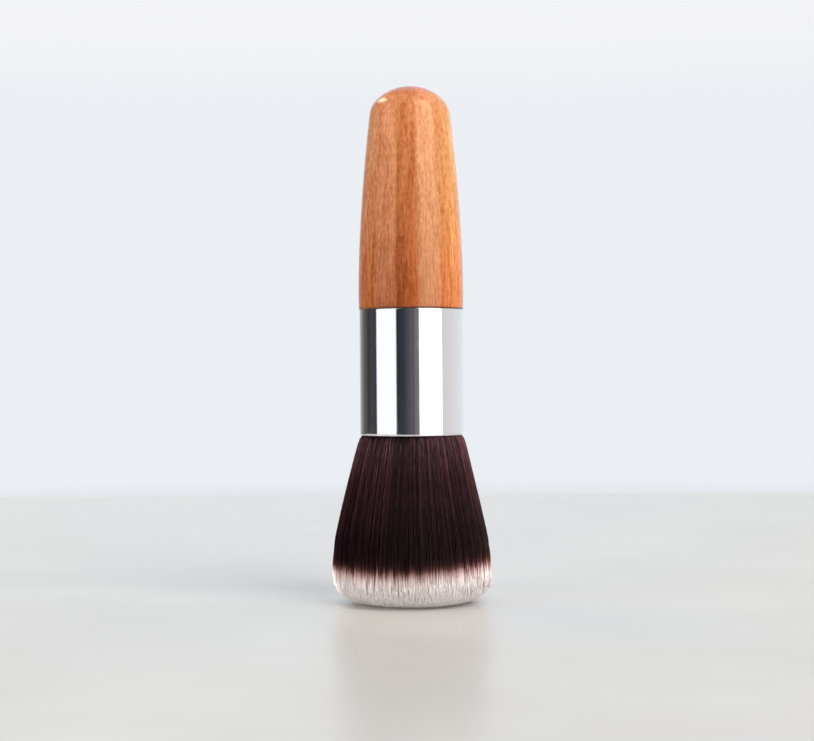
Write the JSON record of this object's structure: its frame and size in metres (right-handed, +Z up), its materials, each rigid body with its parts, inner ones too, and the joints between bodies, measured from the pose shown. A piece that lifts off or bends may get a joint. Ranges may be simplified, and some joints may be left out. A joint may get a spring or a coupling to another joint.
{
  "type": "kabuki makeup brush",
  "caption": "Short round makeup brush with a bowed wooden handle, a polished metal ferrule and a dense, dome-ended bundle of dark bristles with white tips.",
  "frame": {"origin": "centre of the flat of bristle tips that the brush stands on", "axes": "+Z runs up the brush's axis, from the bristle tips to the rounded end of the handle; the brush is round, so +X and +Y are free"},
  "size_m": [0.0358, 0.0358, 0.1144],
  "materials": {
    "lacquered_bamboo": "gloss",
    "polished_aluminium": "polished",
    "cured_glue": "gloss",
    "root_resin": "gloss",
    "binding_thread": "matte",
    "bristle_fibre": "satin"
  },
  "bodies": {
    "root": {"handle": "lacquered_bamboo", "ferrule": "polished_aluminium", "tenon_glue": "cured_glue", "root_resin": "root_resin", "binding_thread": "binding_thread", "bristles": "bristle_fibre"}
  },
  "joints": []
}
